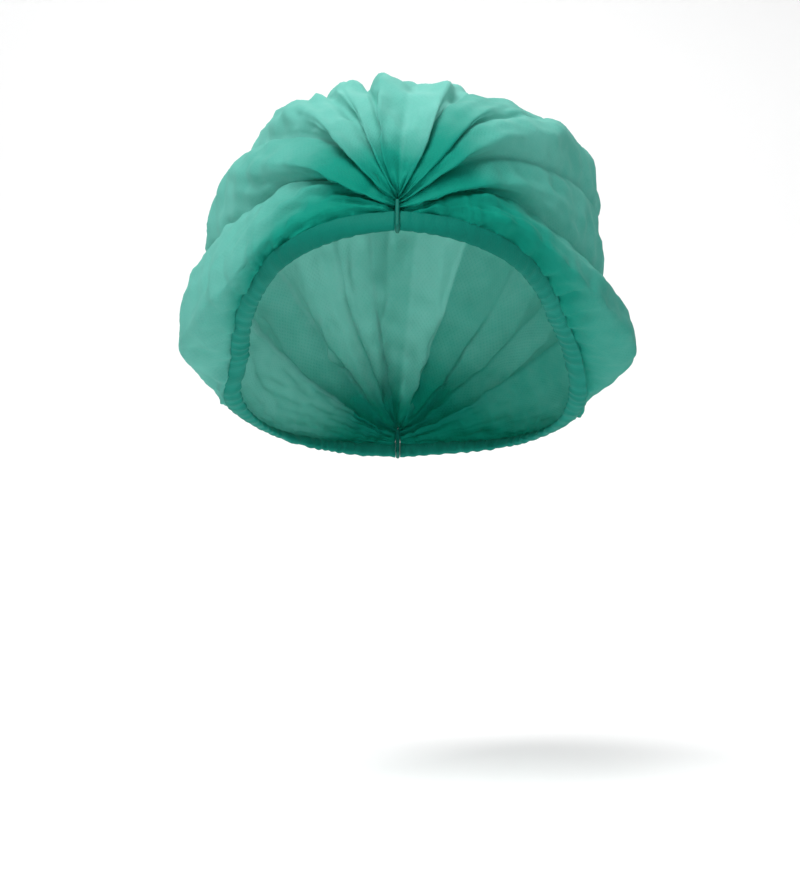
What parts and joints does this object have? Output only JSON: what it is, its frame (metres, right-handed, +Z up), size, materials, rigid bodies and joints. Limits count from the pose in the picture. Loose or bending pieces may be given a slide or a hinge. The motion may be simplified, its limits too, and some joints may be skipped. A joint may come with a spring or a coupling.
{
  "type": "disposable hair cover cap",
  "caption": "Pleated nonwoven hair cover cap in its worn form, pinched into a weld at brow and nape, with an elasticated rim and full side lobes.",
  "frame": {"origin": "the top of the wearer's head, where the cap rests on it, in the middle plane", "axes": "+Z up, -Y the way the wearer looks, +X towards the wearer's left hand"},
  "size_m": [0.2053, 0.2083, 0.1704],
  "materials": {
    "cloth": "soft matte nonwoven",
    "gathered_cloth": "gathered matte nonwoven",
    "pressed_cloth": "heat-pressed nonwoven with a low sheen",
    "elastic": "flat matte elastic"
  },
  "bodies": {
    "root": {"crown": "cloth", "lobe_left": "cloth", "lobe_right": "cloth", "hem_left": "gathered_cloth", "hem_right": "gathered_cloth", "elastic_left": "elastic", "elastic_right": "elastic", "front_weld": "pressed_cloth", "nape_weld": "pressed_cloth"}
  },
  "joints": []
}
